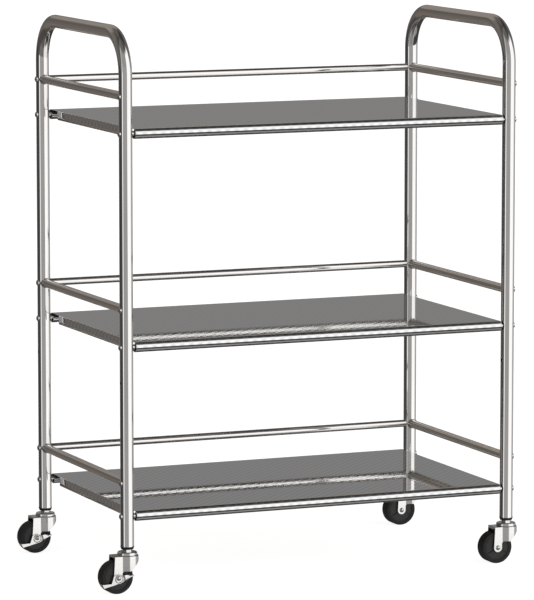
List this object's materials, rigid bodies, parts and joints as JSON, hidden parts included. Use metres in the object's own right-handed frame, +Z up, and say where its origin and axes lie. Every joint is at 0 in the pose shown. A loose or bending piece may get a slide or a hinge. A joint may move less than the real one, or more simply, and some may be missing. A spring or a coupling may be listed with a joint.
{
  "type": "food service trolley",
  "caption": "Open steel serving trolley with three guarded shelves, bent-tube push handles at both ends and swivel casters, two of them braked.",
  "frame": {"origin": "on the floor, at the centre of the four post axes", "axes": "+X along the shelves from the left end to the right end, +Y from the open front to the railed back, +Z up"},
  "size_m": [0.751, 0.4331, 0.921],
  "materials": {
    "frame_tube": "mirror-polished stainless steel tube",
    "rail_tube": "mirror-polished stainless steel tube",
    "shelf_sheet": "polished stainless sheet with a fine diagonal emboss",
    "screw_steel": "polished stainless",
    "plated_steel": "bright zinc or nickel plate",
    "brake_steel": "bright plate",
    "bearing_steel": "ground steel",
    "black_nylon": "moulded black nylon",
    "wheel_core": "moulded dark grey polypropylene",
    "tread": "black rubber tread, smooth"
  },
  "bodies": {
    "frame": {"front_left_post": "frame_tube", "front_left_stem": "plated_steel", "front_left_race_cup": "plated_steel", "front_right_post": "frame_tube", "front_right_stem": "plated_steel", "front_right_race_cup": "plated_steel", "rear_left_post": "frame_tube", "rear_left_stem": "plated_steel", "rear_left_race_cup": "plated_steel", "rear_right_post": "frame_tube", "rear_right_stem": "plated_steel", "rear_right_race_cup": "plated_steel", "left_handle": "frame_tube", "left_lower_rail": "rail_tube", "left_middle_rail": "rail_tube", "left_upper_rail": "rail_tube", "right_handle": "frame_tube", "right_lower_rail": "rail_tube", "right_middle_rail": "rail_tube", "right_upper_rail": "rail_tube", "back_lower_rail": "rail_tube", "lower_shelf": "shelf_sheet", "back_middle_rail": "rail_tube", "middle_shelf": "shelf_sheet", "back_upper_rail": "rail_tube", "upper_shelf": "shelf_sheet", "shelf_plugs": "black_nylon", "rail_plugs": "black_nylon", "stem_bushes": "black_nylon", "shelf_spacers": "screw_steel", "shelf_screws": "screw_steel", "rail_screws": "screw_steel", "blanking_screws": "screw_steel"},
    "front_left_swivel": {"front_left_fork": "plated_steel", "front_left_balls": "bearing_steel", "front_left_axle": "plated_steel", "front_left_sleeve": "bearing_steel"},
    "front_left_wheel": {"front_left_wheel_core": "wheel_core", "front_left_tyre": "tread"},
    "front_left_brake": {"front_left_brake_lever": "brake_steel"},
    "front_right_swivel": {"front_right_fork": "plated_steel", "front_right_balls": "bearing_steel", "front_right_axle": "plated_steel", "front_right_sleeve": "bearing_steel"},
    "front_right_wheel": {"front_right_wheel_core": "wheel_core", "front_right_tyre": "tread"},
    "rear_left_swivel": {"rear_left_fork": "plated_steel", "rear_left_balls": "bearing_steel", "rear_left_axle": "plated_steel", "rear_left_sleeve": "bearing_steel"},
    "rear_left_wheel": {"rear_left_wheel_core": "wheel_core", "rear_left_tyre": "tread"},
    "rear_left_brake": {"rear_left_brake_lever": "brake_steel"},
    "rear_right_swivel": {"rear_right_fork": "plated_steel", "rear_right_balls": "bearing_steel", "rear_right_axle": "plated_steel", "rear_right_sleeve": "bearing_steel"},
    "rear_right_wheel": {"rear_right_wheel_core": "wheel_core", "rear_right_tyre": "tread"}
  },
  "joints": [
    {"name": "front_left_caster_turn", "type": "hinge", "parent": "frame", "child": "front_left_swivel", "pos_m": [-0.342, -0.1945, 0.06], "axis": [0, 0, 1], "continuous": true},
    {"name": "front_left_wheel_roll", "type": "hinge", "parent": "front_left_swivel", "child": "front_left_wheel", "pos_m": [-0.363, -0.1945, 0.027], "axis": [0, 1, 0], "continuous": true},
    {"name": "front_left_brake_press", "type": "hinge", "parent": "front_left_swivel", "child": "front_left_brake", "pos_m": [-0.36249, -0.2095, 0.02591], "axis": [0, 1, 0], "range_deg": [0, 22]},
    {"name": "front_right_caster_turn", "type": "hinge", "parent": "frame", "child": "front_right_swivel", "pos_m": [0.342, -0.1945, 0.06], "axis": [0, 0, 1], "continuous": true},
    {"name": "front_right_wheel_roll", "type": "hinge", "parent": "front_right_swivel", "child": "front_right_wheel", "pos_m": [0.321, -0.1945, 0.027], "axis": [0, 1, 0], "continuous": true},
    {"name": "rear_left_caster_turn", "type": "hinge", "parent": "frame", "child": "rear_left_swivel", "pos_m": [-0.342, 0.1945, 0.06], "axis": [0, 0, 1], "continuous": true},
    {"name": "rear_left_wheel_roll", "type": "hinge", "parent": "rear_left_swivel", "child": "rear_left_wheel", "pos_m": [-0.363, 0.1945, 0.027], "axis": [0, 1, 0], "continuous": true},
    {"name": "rear_left_brake_press", "type": "hinge", "parent": "rear_left_swivel", "child": "rear_left_brake", "pos_m": [-0.36249, 0.1795, 0.02591], "axis": [0, 1, 0], "range_deg": [0, 22]},
    {"name": "rear_right_caster_turn", "type": "hinge", "parent": "frame", "child": "rear_right_swivel", "pos_m": [0.342, 0.1945, 0.06], "axis": [0, 0, 1], "continuous": true},
    {"name": "rear_right_wheel_roll", "type": "hinge", "parent": "rear_right_swivel", "child": "rear_right_wheel", "pos_m": [0.321, 0.1945, 0.027], "axis": [0, 1, 0], "continuous": true}
  ]
}
